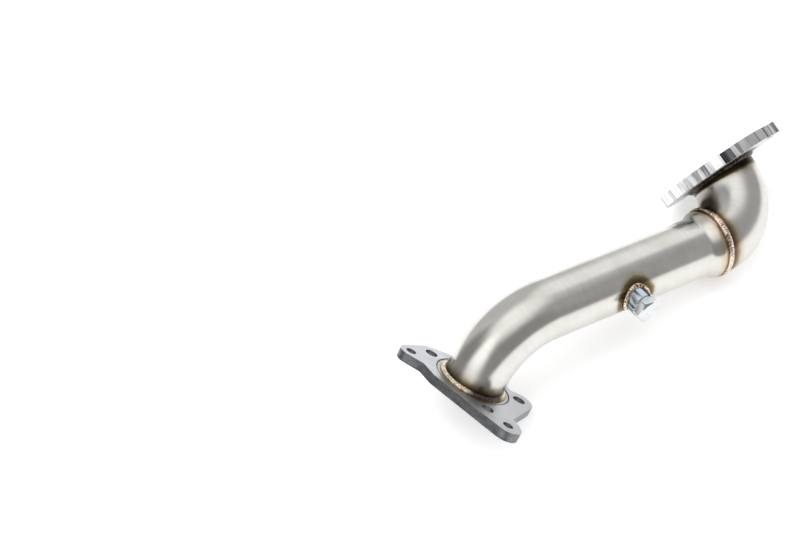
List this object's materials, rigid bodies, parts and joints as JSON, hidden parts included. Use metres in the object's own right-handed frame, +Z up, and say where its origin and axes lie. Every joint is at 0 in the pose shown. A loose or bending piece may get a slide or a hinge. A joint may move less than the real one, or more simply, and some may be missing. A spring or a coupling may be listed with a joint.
{
  "type": "turbo downpipe",
  "caption": "Short bent exhaust pipe with a lobed outlet flange, a tight elbow up to a round turbo flange, welded joints and a plugged sensor bung.",
  "frame": {"origin": "centre of the overall box, on the floor the part lies on", "axes": "+X along the straight run towards the turbo flange, +Z up, +Y on the side that the turbo flange faces"},
  "size_m": [0.4776, 0.2006, 0.1243],
  "materials": {
    "brushed_tube": "satin brushed stainless tube",
    "brushed_elbow": "satin stainless elbow",
    "cut_plate": "pale plate with a dark cut edge",
    "machined_flange": "machined stainless",
    "weld_bead": "heat-tinted weld bead",
    "dark_weld": "dark heat-tinted weld bead",
    "turned_bung": "turned stainless",
    "zinc_plug": "bright zinc plating"
  },
  "bodies": {
    "root": {"outlet_flange": "cut_plate", "outlet_weld": "weld_bead", "outlet_root_weld": "weld_bead", "main_pipe": "brushed_tube", "elbow_weld": "weld_bead", "inlet_elbow": "brushed_elbow", "turbo_weld": "dark_weld", "turbo_root_weld": "weld_bead", "turbo_flange": "machined_flange", "sensor_bung": "turned_bung", "bung_weld": "weld_bead", "plug_washer": "turned_bung", "bung_plug": "zinc_plug"}
  },
  "joints": []
}
